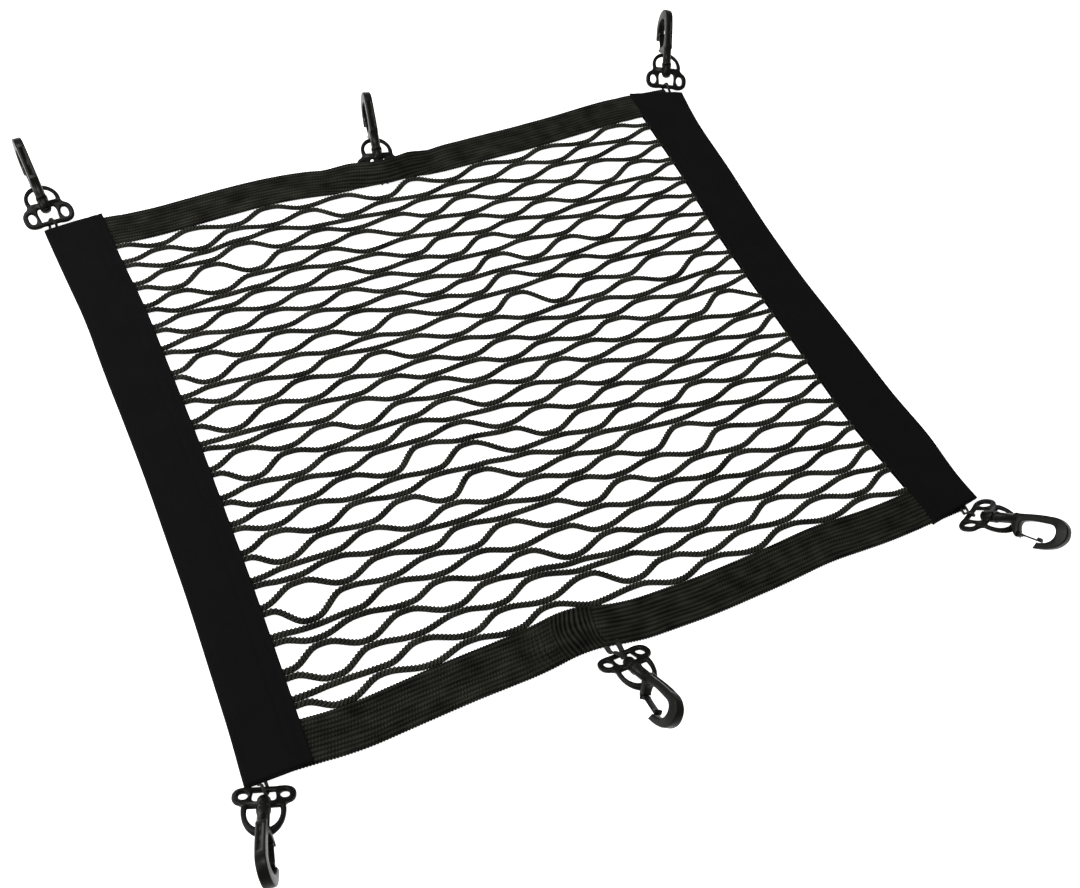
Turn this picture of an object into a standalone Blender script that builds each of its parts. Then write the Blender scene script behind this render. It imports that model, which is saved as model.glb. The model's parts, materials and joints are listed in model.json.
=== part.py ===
"""Cargo net for a car boot: a knitted net with wide bands, two side tapes and six swivel snap hooks."""

import math
import random

import bmesh
import bpy
from mathutils import Matrix, Vector, geometry

MM = 0.001

# The whole part is moved by this much so that the middle of its box stands on the origin.
CENTRE_SHIFT = (-0.5556, 2.2010)

# Cords and openings of the net.
CORD = 5.2
NODE = 2.0 * CORD
NODE_HALF_LENGTH = 8.8
CROWN = 10.5
ROWS = 19
LEAST_OPENING = 4.4
MOST_OPENINGS = 300
NET_THICKNESS = 3.0
COLUMNS = (-292, -260, -224, -187, -150, -113.5, -76, -35, 3, 40, 78.5, 117, 156, 198, 241, 280)

# Openings that the handling has pulled wide or pushed shut, with the change of their height.
SPOTS = (
    # x, y, change
    (-262, -129, -10),
    (-267, 5, -10),
    (-264, -207, 8),
    (-261, -22, 9),
    (-260, 87, 9),
    (-258, -153, 14),
    (-219, 185, 12),
    (-184, 201, 12),
    (-152, -124, 7),
    (-151, -5, 7),
    (-113, 61, -8),
    (-111, -78, 9),
    (-113, -110, 5),
    (-76, -88, 7),
    (-77, -126, 8),
    (-76, -151, -8),
    (-67, 211, -8),
    (-43, -215, -13),
    (-31, 221, -7),
    (-1, -63, 7),
    (44, 61, 8),
    (54, 224, -7),
    (85, 78, 8),
    (116, -136, 10),
    (162, 158, -7),
    (213, 201, 8),
    (214, 67, 10),
    (248, -6, 8),
    (268, -21, -9),
)

# Outlines, as (place along the edge, position of the edge).
TOP_EDGE = (
    (-350, 283),
    (-255, 281),
    (-208, 285),
    (-150, 289),
    (-113, 288),
    (-80, 283.5),
    (-49, 271.8),
    (-36, 269.5),
    (-11, 269.5),
    (2, 271.8),
    (40, 282.5),
    (75, 284),
    (147, 287.6),
    (194, 291.3),
    (241, 296.4),
    (265, 297),
    (350, 294),
)
BOTTOM_EDGE = (
    (-350, -290),
    (-260, -297.5),
    (-170, -293.5),
    (-105, -293),
    (-66, -288),
    (-40, -292),
    (-20, -297),
    (50, -299),
    (123, -296.4),
    (175, -292.5),
    (240, -295),
    (350, -292),
)
TOP_BAND = ((-350, 36.5), (-80, 36), (-49, 25.8), (2, 25.8), (40, 36), (350, 36.5))
BOTTOM_BAND = ((-350, 37), (-280, 38), (-66, 41), (-20, 37), (350, 36.5))
LEFT_OUTER = (
    (-294, -351),
    (-255, -348),
    (-195, -346),
    (-135, -344),
    (-15, -343),
    (45, -344),
    (105, -345.6),
    (165, -345.6),
    (225, -350),
    (288, -354),
)
LEFT_INNER = ((-294, -298), (-255, -296.4), (-135, -292.6), (0, -291), (165, -292.5), (225, -297), (288, -299))
RIGHT_OUTER = (
    (-294, 348),
    (-255, 341.8),
    (-225, 344.3),
    (-195, 342.4),
    (-165, 338),
    (-75, 335),
    (0, 331),
    (75, 331.7),
    (165, 337),
    (225, 338),
    (255, 341),
    (294, 347.5),
)
RIGHT_INNER = (
    (-294, 290),
    (-255, 287),
    (-195, 279.4),
    (-165, 277),
    (-50, 276.5),
    (75, 275),
    (165, 281),
    (255, 282.5),
    (294, 284),
)
TAPE_ENDS = {
    # name: low end at the inner edge, low end at the outer edge, high end at both
    "tape_left": (-292.5, -292, 286, 279.6),
    "tape_right": (-294.5, -286.5, 297, 282.5),
}

# Levels of the folded side tape: the net's edge lies between its two layers.
TAPE_LAYER = 1.0
TAPE_HEIGHT = 4.6
FOLD_RADIUS = 2.3
NET_IN_TAPE = 1.3
NET_IN_TAPE_TOP = 3.3

# Plates of the swivels, in their own plane: across, and along the hook's axis from the crossbar.
PLATE_HALF = 1.7
BORE_RADIUS = 3.8
BOSS_RADIUS = 5.1
SHANK_RADIUS = 3.5
NECK_RADIUS = 4.6
COLLAR_RADIUS = 5.3
BAR_MIDDLE = -19.0
BAR_HALF_WIDTH = 2.2
PLATE_OUTLINE = (
    # half of the outline, from the base bar to the top of the front ring
    (8, -21.2),
    (12, -21.8),
    (16.5, -21.4),
    (20.3, -19.3),
    (22.4, -15.8),
    (23, -11.5),
    (22.4, -7.2),
    (20.3, -3.6),
    (17.2, -1.2),
    (15.9, 0.8),
    (16, 5.2),
    (15.4, 10.7),
    (13.4, 16.2),
    (9.8, 21),
    (5.2, 23.9),
)
EAR_HOLE = ((13, -16), (16, -16.6), (17.7, -14.6), (18.1, -11.5), (17.7, -8.4), (16, -6.4), (13, -7))
MIDDLE_HOLE = ((8, -16.8), (8, -4.8), (6.6, -3.3))
RING_HOLE = ((11.5, 3.1), (11.9, 6.4), (11.3, 11.2), (9.3, 15.2), (6.2, 18), (2.8, 19.2))
RING_START = 3.0
RING_SLOPE = 0.42

# Snap hook, in the plane of its bend: across (spine side positive), and along the axis.
HOOK_HALF = 4.0
GATE_PIVOT = (-13.5, 32.0)
GATE_BARREL = 1.8
GATE_NOTCH = 2.15
HOOK_BODY = (
    # from the root block's gate side by the spine and round the bend to the nose, then back inside
    (-15.8, 29.4),
    (-9, 25),
    (4.6, 25),
    (5, 31),
    (4.5, 61),
    (3.3, 67),
    (0.2, 72),
    (-4, 75.1),
    (-9, 76),
    (-14.2, 75),
    (-18.6, 71.6),
    (-22, 66.4),
    (-23.8, 60),
    (-24.5, 53),
    (-24.5, 46),
    (-19, 49),
    (-19, 53.5),
    (-17.9, 58.6),
    (-15.4, 62.4),
    (-12, 64.5),
    (-8, 65),
    (-4.8, 63.8),
    (-2.8, 61.2),
    (-2, 57.6),
    (-1.6, 34),
    (-3.4, 31.6),
    (-9, 31.2),
    (-11.1, 32),
)
GATE_TONGUE = ((-16.4, 49.2), (-14.7, 49.6), (-14.7, 51.2), (-16.6, 52), (-18.5, 51.6))

# Elastic loop that ties each plate to the cloth.
LOOP_RADIUS = 0.8

# Hooks: (x, y, z) of the crossbar's middle, azimuth and elevation of the axis,
# turn of the bend about the axis, and the loop's legs as (y of the hem, y inside it, z, half their spread).
HOOKS = {
    "back_left": ((-345.8, 304.7, 10.9), 94.5, 18.5, 90, (282.7, 272.5, 2.3, 3.0)),
    "back_middle": ((-23.5, 278.4, 10.4), 79.0, 18.5, 88, (250.8, 247.5, 1.15, 3.0)),
    "back_right": ((336.8, 310.4, 13.7), 65.5, 26.0, 80, (288.0, 279.0, 2.3, 3.0)),
    "front_right": ((332.2, -312.0, 18.1), -65.5, 44.0, 137, (-294.3, -283.5, 2.3, 3.0)),
    "front_middle": ((-43.0, -317.2, 17.3), -89.0, 38.5, 121, (-293.75, -293.75, 1.5, 5.8)),
    "front_left": ((-342.6, -313.0, 17.0), -109.0, 39.0, 72, (-293.2, -283.0, 2.3, 3.0)),
}
LIFT_HOOK = "back_middle"
LIFT_PROFILE = ((0, 11.2), (6, 10.1), (12, 9.4), (14.5, 8.6), (19, 6.4), (28, 2.9), (38, 0))
LIFT_REACH = (25.0, 62.0)


def along(table, place):
    """Value of a short table at a place, on straight lines between its rows."""
    if place <= table[0][0]:
        return table[0][1]
    for (low, first), (high, second) in zip(table, table[1:]):
        if place <= high:
            return first + (second - first) * (place - low) / (high - low)
    return table[-1][1]


def eased(value):
    value = max(0.0, min(1.0, value))
    return value * value * (3.0 - 2.0 * value)


def shifted(x, y, z):
    return Vector(((x + CENTRE_SHIFT[0]) * MM, (y + CENTRE_SHIFT[1]) * MM, z * MM))


def material(name, colour, roughness):
    made = bpy.data.materials.new(name)
    made.use_nodes = True
    shader = made.node_tree.nodes["Principled BSDF"]
    shader.inputs["Base Color"].default_value = (*colour, 1.0)
    shader.inputs["Roughness"].default_value = roughness
    return made


def place(name, mesh, collection, look=None, matrix=None):
    obj = bpy.data.objects.new(name, mesh)
    collection.objects.link(obj)
    if matrix is not None:
        obj.matrix_world = matrix
    if look is not None:
        obj.data.materials.append(look)
    return obj


def mesh_from(bm, name):
    bmesh.ops.recalc_face_normals(bm, faces=bm.faces[:])
    mesh = bpy.data.meshes.new(name)
    bm.to_mesh(mesh)
    bm.free()
    return mesh


def sheet_mesh(name, loops, extra, lines, low, high):
    """A flat sheet from closed loops in mm, the first the outline, with its two faces at low(x, y) and high(x, y)."""
    points, edges, faces = [], [], []
    for loop in loops:
        start = len(points)
        points.extend(Vector(point) for point in loop)
        ring = list(range(start, len(points)))
        faces.append(ring)
    for line in lines:
        start = len(points)
        points.extend(Vector(point) for point in line)
        edges.extend((at, at + 1) for at in range(start, len(points) - 1))
    points.extend(Vector(point) for point in extra)
    made = geometry.delaunay_2d_cdt(points, edges, faces, 1, 1e-4)
    coords, triangles, sources = made[0], made[2], made[5]
    bm = bmesh.new()
    bottom = [bm.verts.new((p.x * MM, p.y * MM, low(p.x, p.y) * MM)) for p in coords]
    top = [bm.verts.new((p.x * MM, p.y * MM, high(p.x, p.y) * MM)) for p in coords]
    directed = set()
    for triangle, source in zip(triangles, sources):
        if list(source) != [0]:
            continue
        bm.faces.new([top[at] for at in triangle])
        bm.faces.new([bottom[at] for at in reversed(triangle)])
        directed.update(zip(triangle, triangle[1:] + triangle[:1]))
    for first, second in sorted(directed):
        if (second, first) not in directed:
            bm.faces.new((bottom[first], bottom[second], top[second], top[first]))
    loose = [vert for vert in bm.verts if not vert.link_faces]
    bmesh.ops.delete(bm, geom=loose, context="VERTS")
    return mesh_from(bm, name)


def lathe_mesh(name, profile, sides):
    """A turned piece about the local Y axis from (radius, height) pairs in mm."""
    bm = bmesh.new()
    rings = []
    for radius, height in profile:
        count = sides if radius > 0 else 1
        turns = [2.0 * math.pi * step / sides for step in range(count)]
        rings.append([bm.verts.new(Vector((math.cos(t) * radius, height, math.sin(t) * radius)) * MM) for t in turns])
    for low, high in zip(rings, rings[1:]):
        for step in range(sides):
            after = (step + 1) % sides
            corners = [low[step % len(low)], low[after % len(low)], high[after % len(high)], high[step % len(high)]]
            bm.faces.new(list(dict.fromkeys(corners)))
    return mesh_from(bm, name)


def boolean(obj, other, operation):
    modifier = obj.modifiers.new(other.name, "BOOLEAN")
    modifier.operation = operation
    modifier.solver = "EXACT"
    modifier.object = other


def mirrored(half):
    return [(x, y) for x, y in half] + [(-x, y) for x, y in reversed(half)]


# ---- net ----


def top_inner(x):
    return along(TOP_EDGE, x) - along(TOP_BAND, x)


def bottom_inner(x):
    return along(BOTTOM_EDGE, x) + along(BOTTOM_BAND, x)


def column_spans(column, heights):
    """Top and bottom of every opening of a column whose heights are in proportion to those given.

    Every other column starts with half an opening at the far band, and the others end with one at the near band.
    """
    top, bottom = top_inner(COLUMNS[column]), bottom_inner(COLUMNS[column])
    free = top - bottom - (ROWS - 1) * NODE - CORD
    scale = free / sum(heights)
    level = top - CORD if column % 2 == 0 else top
    spans = []
    for height in heights:
        spans.append((level, level - height * scale))
        level -= height * scale + NODE
    return spans


def opening_spans():
    """Spans of all openings, with seeded unevenness and the pulled and pushed spots."""
    chance = random.Random(11)
    usual = 16.2
    heights = []
    for _ in COLUMNS:
        slips = [0.0] + [chance.gauss(0.0, 1.3) for _ in range(ROWS - 1)] + [0.0]
        heights.append([usual + after - before for before, after in zip(slips, slips[1:])])
        heights[-1][-1 if len(heights) % 2 else 0] -= usual / 2
    spans = [column_spans(column, row) for column, row in enumerate(heights)]
    for x, y, change in SPOTS:
        spot = min(
            ((column, row) for column in range(len(COLUMNS)) for row in range(ROWS)),
            key=lambda at: abs(COLUMNS[at[0]] - x) + abs(sum(spans[at[0]][at[1]]) / 2 - y),
        )
        column, row = spot
        heights[column][row] = max(1.5, usual + change)
        beside = [at for at in (row - 1, row + 1) if 0 <= at < ROWS]
        for at in beside:
            heights[column][at] = max(5.5, heights[column][at] - change / len(beside))
    return [column_spans(column, row) for column, row in enumerate(heights)]


def tip_level(spans, column, row, odd):
    """Height at which the two cords of an opening meet, in the column beside it."""
    span = spans[column]
    if odd:
        return top_inner(COLUMNS[column]) if row == 0 else (span[row - 1][1] + span[row][0]) / 2
    return bottom_inner(COLUMNS[column]) if row == ROWS - 1 else (span[row][1] + span[row + 1][0]) / 2


def openings():
    """Outline of every opening of the net, the largest first."""
    spans = opening_spans()
    chance = random.Random(5)
    last = len(COLUMNS) - 1
    found = []
    for column, x in enumerate(COLUMNS):
        for row in range(ROWS):
            high, low = spans[column][row]
            slip = chance.gauss(0.0, 1.3)
            flat = CROWN / 2 + chance.gauss(0.0, 0.7)
            if high - low < LEAST_OPENING:
                continue
            ring = []
            if column > 0:
                tip = COLUMNS[column - 1] + NODE_HALF_LENGTH + chance.gauss(0.0, 1.0)
                ring.append((tip, tip_level(spans, column - 1, row, column % 2)))
                ring.append((x + slip - flat, low))
            else:
                side = along(LEFT_INNER, (high + low) / 2) - 1.0
                ring.extend(((side, high), (side, low)))
            if column < last:
                tip = COLUMNS[column + 1] - NODE_HALF_LENGTH + chance.gauss(0.0, 1.0)
                ring.append((x + slip + flat, low))
                ring.append((tip, tip_level(spans, column + 1, row, column % 2)))
                ring.append((x + slip + flat, high))
            else:
                side = along(RIGHT_INNER, (high + low) / 2) + 1.0
                ring.extend(((side, low), (side, high)))
            if column > 0:
                ring.append((x + slip - flat, high))
            found.append((high - low, ring))
    found.sort(key=lambda item: -item[0])
    return [ring for _, ring in found[:MOST_OPENINGS]]


def lift(x, y):
    """Height of the band's underside where it lies over the plate of the back middle hook."""
    (middle, _, _), azimuth = HOOKS[LIFT_HOOK][0], HOOKS[LIFT_HOOK][1]
    inward = along(TOP_EDGE, x) - y
    across = abs(x - (middle - inward / math.tan(math.radians(azimuth))))
    near, far = LIFT_REACH
    return along(LIFT_PROFILE, inward) * (1.0 - eased((across - near) / (far - near)))


def in_tape(x, y):
    """1 where the net lies between the layers of a side tape, 0 out in the open."""
    beyond = min(x - along(LEFT_INNER, y), along(RIGHT_INNER, y) - x)
    return max(0.0, min(1.0, (17.0 - beyond) / 9.0))


def net_low(x, y):
    return NET_IN_TAPE * in_tape(x, y) + lift(x, y)


def net_high(x, y):
    return NET_THICKNESS + (NET_IN_TAPE_TOP - NET_THICKNESS) * in_tape(x, y) + lift(x, y)


def net_outline():
    step = 15.5
    left_top, left_bottom = along(LEFT_INNER, 285), along(LEFT_INNER, -290)
    right_top, right_bottom = along(RIGHT_INNER, 290), along(RIGHT_INNER, -290)
    ring = []
    count = round((right_bottom - left_bottom + 8) / step)
    for at in range(count + 1):
        x = left_bottom - 4 + (right_bottom - left_bottom + 8) * at / count
        ring.append((x, along(BOTTOM_EDGE, x)))
    ring.append((right_bottom + 6, -278))
    for y in (-276, -225, -165, -75, 0, 75, 165, 225, 274):
        ring.append((along(RIGHT_OUTER, y) - 5, y))
    ring.append((right_top + 6, 276))
    count = round((right_top - left_top + 8) / step)
    for at in range(count + 1):
        x = right_top + 4 - (right_top - left_top + 8) * at / count
        ring.append((x, along(TOP_EDGE, x)))
    ring.append((left_top - 6, 269))
    for y in (267, 225, 165, 105, 0, -135, -195, -255, -275):
        ring.append((along(LEFT_OUTER, y) + 5, y))
    ring.append((left_bottom - 6, -277))
    return ring


def net_mesh():
    middle, level = HOOKS[LIFT_HOOK][0][0], along(TOP_EDGE, HOOKS[LIFT_HOOK][0][0])
    extra = []
    for inward in (6, 12, 14.5, 19):
        for across in (-62, -50, -38, -25.5, -13, 0, 13, 25.5, 38, 50, 62):
            x = middle + across
            extra.append((x, along(TOP_EDGE, x) - inward + 0.01 * level / 280))
    lines = []
    for inner, side in ((LEFT_INNER, 1), (RIGHT_INNER, -1)):
        for edge, width, turn in ((TOP_EDGE, TOP_BAND, -1), (BOTTOM_EDGE, BOTTOM_BAND, 1)):
            x = along(inner, -turn * 285) + side * 6.5
            start, reach = along(edge, x) + turn * 1.5, along(width, x) - 4
            lines.append([(x, start + turn * reach * part / 3) for part in range(4)])
            lines.append([(x + side * 13, start + turn * reach * part / 3) for part in range(4)])
    return sheet_mesh("net", [net_outline()] + openings(), extra, lines, net_low, net_high)


# ---- side tapes ----


def tape_mesh(name):
    """A tape folded once along its outer edge, swept along the side of the net."""
    left = name == "tape_left"
    inner, outer = (LEFT_INNER, LEFT_OUTER) if left else (RIGHT_INNER, RIGHT_OUTER)
    side = 1 if left else -1
    low_in, low_out, high_in, high_out = TAPE_ENDS[name]
    stations = 15
    middle = TAPE_HEIGHT / 2
    inner_radius = middle - TAPE_LAYER
    bends = (-90, -45, 0, 45, 90)
    bm = bmesh.new()
    rings = []
    for at in range(stations):
        part = at / (stations - 1)
        section = [(0.0, 0.0)]
        for turn in bends:
            inset = FOLD_RADIUS * (1 - math.cos(math.radians(turn)))
            section.append((1.0, (inset, middle + FOLD_RADIUS * math.sin(math.radians(turn)))))
        section += [(0.0, TAPE_HEIGHT), (0.0, TAPE_HEIGHT - TAPE_LAYER)]
        for turn in reversed(bends):
            inset = FOLD_RADIUS - inner_radius * math.cos(math.radians(turn))
            section.append((1.0, (inset, middle + inner_radius * math.sin(math.radians(turn)))))
        section += [(0.0, TAPE_LAYER)]
        ring = []
        for entry in section:
            if entry[0] > 0.5:
                inset, z = entry[1]
                y = low_out + (high_out - low_out) * part
                x = along(outer, y) + side * inset
            else:
                z = entry[1]
                y = low_in + (high_in - low_in) * part
                x = along(inner, y)
            ring.append(bm.verts.new((x * MM, y * MM, z * MM)))
        rings.append(ring)
    for first, second in zip(rings, rings[1:]):
        for at in range(len(first)):
            after = (at + 1) % len(first)
            bm.faces.new((first[at], first[after], second[after], second[at]))
    for ring in (rings[0], rings[-1]):
        for at in range(len(bends) + 1):
            bm.faces.new((ring[at], ring[at + 1], ring[-2 - at], ring[-1 - at]))
    return mesh_from(bm, name)


# ---- swivel plates, hooks, gates and loops ----


def axes(azimuth, elevation):
    """Across, along and out-of-plane directions of a plate."""
    az, el = math.radians(azimuth), math.radians(elevation)
    axis = Vector((math.cos(el) * math.cos(az), math.cos(el) * math.sin(az), math.sin(el)))
    across = Vector((math.sin(az), -math.cos(az), 0.0))
    return across, axis, across.cross(axis)


def frame_of(across, axis, out, origin):
    matrix = Matrix((across, axis, out)).transposed().to_4x4()
    matrix.translation = origin
    return matrix


def sink(y):
    """How far the front ring has dropped below the plate's plane, so that the hook's neck passes over it."""
    return RING_SLOPE * max(0.0, y - RING_START)


def plate_mesh(name):
    loops = [mirrored(PLATE_OUTLINE), mirrored(MIDDLE_HOLE), mirrored(RING_HOLE)]
    loops.append(list(EAR_HOLE))
    loops.append([(-x, y) for x, y in reversed(EAR_HOLE)])
    return sheet_mesh(name, loops, [], [], lambda x, y: -PLATE_HALF - sink(y), lambda x, y: PLATE_HALF - sink(y))


def barrel_points(start, stop, radius, count):
    x, y = GATE_PIVOT
    turns = [math.radians(start + (stop - start) * at / (count - 1)) for at in range(count)]
    return [(x + radius * math.cos(turn), y + radius * math.sin(turn)) for turn in turns]


def hook_mesh(name):
    ring = list(HOOK_BODY) + barrel_points(-10, -160, GATE_NOTCH, 6)
    return sheet_mesh(name, [ring], [], [], lambda x, y: -HOOK_HALF, lambda x, y: HOOK_HALF)


def gate_mesh(name):
    ring = barrel_points(128, 412, GATE_BARREL, 9) + list(GATE_TONGUE)
    ring = [(x - GATE_PIVOT[0], y - GATE_PIVOT[1]) for x, y in ring]
    return sheet_mesh(name, [ring], [], [], lambda x, y: 0.6 - HOOK_HALF, lambda x, y: HOOK_HALF - 0.6)


def tube_mesh(name, path, radius, sides=6):
    """A round cord along a path, made as a curve with filled ends and then turned into a mesh."""
    curve = bpy.data.curves.new(name, "CURVE")
    curve.dimensions = "3D"
    curve.bevel_depth = radius * MM
    curve.bevel_resolution = (sides - 4) // 2
    curve.use_fill_caps = True
    spline = curve.splines.new("POLY")
    spline.points.add(len(path) - 1)
    for point, place_at in zip(spline.points, path):
        point.co = (*place_at, 1.0)
    holder = bpy.data.objects.new(name + "_path", curve)
    bpy.context.scene.collection.objects.link(holder)
    bpy.context.view_layer.update()
    mesh = bpy.data.meshes.new_from_object(holder.evaluated_get(bpy.context.evaluated_depsgraph_get()))
    bpy.data.objects.remove(holder)
    bm = bmesh.new()
    bm.from_mesh(mesh)
    bmesh.ops.remove_doubles(bm, verts=bm.verts[:], dist=1e-6)
    bpy.data.meshes.remove(mesh)
    return mesh_from(bm, name)


def loop_path(origin, across, axis, out, hem):
    """From the hem, under the base bar, up through the plate's middle opening and back over the bar."""
    hem_y, inside_y, z, half_spread = hem
    away = BAR_HALF_WIDTH + LOOP_RADIUS + 0.5
    above = PLATE_HALF + LOOP_RADIUS + 0.35
    bar = origin + axis * BAR_MIDDLE * MM
    wrap = (
        # along the axis from the bar's middle, out of the plate's plane
        (-3.1, -2.6),
        (2.3, -above),
        (away, -1.9),
        (away, 1.9),
        (2.3, above),
        (-2.4, 2.95),
        (-3.4, 2.1),
    )
    last = len(wrap) - 1
    points = []
    for at, (v, n) in enumerate(wrap):
        side = half_spread * (2.0 * at / last - 1.0)
        points.append(bar + (across * side + axis * v + out * n) * MM)
    legs = []
    for side in (-half_spread, half_spread):
        x = (bar + across * side * MM).x
        ends = dict.fromkeys((inside_y, hem_y))
        legs.append([Vector((x, (y + CENTRE_SHIFT[1]) * MM, z * MM)) for y in ends])
    return legs[0] + points + legs[1][::-1]


def build():
    for obj in list(bpy.data.objects):
        bpy.data.objects.remove(obj)
    scene = bpy.context.scene
    parts = bpy.data.collections.new("cargo_net")
    cutters = bpy.data.collections.new("cutters")
    scene.collection.children.link(parts)
    scene.collection.children.link(cutters)
    cutters.hide_render = True
    knit = material("knitted_cord", (0.055, 0.056, 0.058), 0.9)
    weave = material("side_tape", (0.11, 0.11, 0.112), 0.85)
    plastic = material("moulded_plastic", (0.07, 0.072, 0.068), 0.35)
    gate_look = material("gate_plastic", (0.06, 0.062, 0.058), 0.35)
    elastic = material("elastic_cord", (0.03, 0.03, 0.03), 0.8)
    moved = Matrix.Translation(shifted(0, 0, 0))

    place("net", net_mesh(), parts, knit, moved)
    for name in TAPE_ENDS:
        place(name, tape_mesh(name), parts, weave, moved)
    for name, (middle, azimuth, elevation, turn, hem) in HOOKS.items():
        origin = shifted(*middle)
        across, axis, out = axes(azimuth, elevation)
        flat = frame_of(across, axis, out, origin)
        plate = place("plate_" + name, plate_mesh("plate_" + name), parts, plastic, flat)
        for label, profile in (
            ("boss", ((0, -5), (BOSS_RADIUS, -5), (BOSS_RADIUS, 5), (0, 5))),
            ("bore", ((0, -8), (BORE_RADIUS, -8), (BORE_RADIUS, 8), (0, 8))),
        ):
            cutter_name = label + "_" + name
            cutter = place(cutter_name, lathe_mesh(cutter_name, profile, 12), cutters, None, flat)
            cutter.display_type = "WIRE"
            boolean(plate, cutter, "DIFFERENCE" if label == "bore" else "UNION")

        lean = math.radians(turn)
        bend = across * math.cos(lean) + out * math.sin(lean)
        turned = frame_of(bend, axis, bend.cross(axis), origin)
        hook = place("hook_" + name, hook_mesh("hook_" + name), parts, plastic, turned)
        shank = (
            (0, -7.6),
            (2.5, -7.6),
            (4.3, -6.4),
            (4.3, -5.35),
            (SHANK_RADIUS, -5.35),
            (SHANK_RADIUS, 5.4),
            (COLLAR_RADIUS, 5.4),
            (COLLAR_RADIUS, 8.6),
            (NECK_RADIUS, 9.4),
            (NECK_RADIUS, 27.5),
            (0, 27.5),
        )
        pin = place("pin_" + name, lathe_mesh("pin_" + name, shank, 12), cutters, None, turned)
        pin.display_type = "WIRE"
        boolean(hook, pin, "UNION")

        pivot = turned @ Matrix.Translation(Vector((*GATE_PIVOT, 0.0)) * MM)
        place("gate_" + name, gate_mesh("gate_" + name), parts, gate_look, pivot)
        path = loop_path(origin, across, axis, out, hem)
        place("loop_" + name, tube_mesh("loop_" + name, path, LOOP_RADIUS), parts, elastic)


build()
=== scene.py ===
# %% [markdown]
# # Cargo net
# A knitted net for a car boot: polyester cords between two wide knitted bands, a folded tape sewn
# along each side, and six swivel snap hooks tied on with elastic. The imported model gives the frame
# and every position. This notebook gives each piece its real surface.

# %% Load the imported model
import json
import math
import random

import bmesh
import bpy
from mathutils import Matrix, Vector, kdtree, noise


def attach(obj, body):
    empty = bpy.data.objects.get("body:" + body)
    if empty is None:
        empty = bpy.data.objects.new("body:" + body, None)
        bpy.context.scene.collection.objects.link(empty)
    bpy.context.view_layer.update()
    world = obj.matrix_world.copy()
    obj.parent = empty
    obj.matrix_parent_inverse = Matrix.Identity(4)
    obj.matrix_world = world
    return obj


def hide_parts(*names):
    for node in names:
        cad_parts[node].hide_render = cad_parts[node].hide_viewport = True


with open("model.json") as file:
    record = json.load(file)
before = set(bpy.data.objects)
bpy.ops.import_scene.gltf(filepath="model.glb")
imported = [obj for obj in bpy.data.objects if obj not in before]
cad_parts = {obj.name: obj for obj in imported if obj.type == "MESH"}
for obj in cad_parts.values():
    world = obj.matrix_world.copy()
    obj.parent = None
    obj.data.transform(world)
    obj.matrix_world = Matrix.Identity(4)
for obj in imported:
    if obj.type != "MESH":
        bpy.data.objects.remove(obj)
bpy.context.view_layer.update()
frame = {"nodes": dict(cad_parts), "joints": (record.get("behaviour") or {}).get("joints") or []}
MM = 0.001
print("model loaded:", len(frame["nodes"]), "nodes")

# %% [markdown]
# ## Camera
# The net lies on the ground and is seen from above its near left corner. The camera's three
# directions are given directly, and a rotation matrix made of them turns it, which is surer than
# three separate angles.

# %% Camera
eye = Vector((-0.41276, -0.59550, 0.9185))
back = Vector((-0.3553, -0.4508, 0.8188)).normalized()
right = Vector((0.8915, -0.4269, 0.1518))
right = (right - back * right.dot(back)).normalized()
turn = Matrix((right, back.cross(right), back)).transposed().to_4x4()
camera = bpy.data.objects.new("camera", bpy.data.cameras.new("camera"))
camera.data.lens = 41.8
camera.data.sensor_width = 36.0
camera.data.clip_start = 0.05
camera.matrix_world = Matrix.Translation(eye) @ turn
bpy.context.scene.collection.objects.link(camera)
bpy.context.scene.camera = camera
print("camera at", [round(value, 3) for value in eye])

# %% [markdown]
# ## Floor and light
# A white light table, a dim even sky and two soft lamps are enough. The table shines, so nothing
# throws a shadow on it and every opening of the net stands white. The sky is dim, so black cloth
# stays black, and the lamps are what the shiny plastic mirrors. The view is set to Standard, which
# keeps the white table white.

# %% Floor, sky and lamps
def colour(hex_text):
    """An sRGB hex value as linear red, green, blue and alpha."""
    parts = [int(hex_text[at : at + 2], 16) / 255 for at in (1, 3, 5)]
    return (*[p / 12.92 if p <= 0.04045 else ((p + 0.055) / 1.055) ** 2.4 for p in parts], 1.0)


def lamp(name, place, aim, size, power):
    made = bpy.data.objects.new(name, bpy.data.lights.new(name, "AREA"))
    made.data.shape = "SQUARE"
    made.data.size = size
    made.data.energy = power
    direction = Vector(aim) - Vector(place)
    made.matrix_world = Matrix.Translation(place) @ direction.to_track_quat("-Z", "Y").to_matrix().to_4x4()
    bpy.context.scene.collection.objects.link(made)


bm = bmesh.new()
bmesh.ops.create_grid(bm, x_segments=1, y_segments=1, size=40.0)
bmesh.ops.translate(bm, verts=bm.verts, vec=(0, 0, -0.0004))
floor_mesh = bpy.data.meshes.new("floor")
bm.to_mesh(floor_mesh)
bm.free()
floor = bpy.data.objects.new("floor", floor_mesh)
bpy.context.scene.collection.objects.link(floor)
world = bpy.data.worlds.new("studio")
world.use_nodes = True
world.node_tree.nodes["Background"].inputs["Color"].default_value = (1, 1, 1, 1)
world.node_tree.nodes["Background"].inputs["Strength"].default_value = 0.4
bpy.context.scene.world = world
bpy.context.scene.view_settings.view_transform = "Standard"
lamp("lamp_over", (-0.5, 0.9, 2.0), (0, 0, 0), 0.8, 28)
lamp("lamp_left", (-1.9, 0.5, 1.1), (0, 0, 0), 0.9, 26)
print("floor, sky and two lamps")

# %% [markdown]
# ## Materials
# Each surface starts from what it is made of. One function adds a node with its settings and
# links, and each material is a short chain of such nodes. A pattern reads Object coordinates, or
# the UV map or the attribute that the piece brings, so it stays on the piece when that moves.

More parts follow.
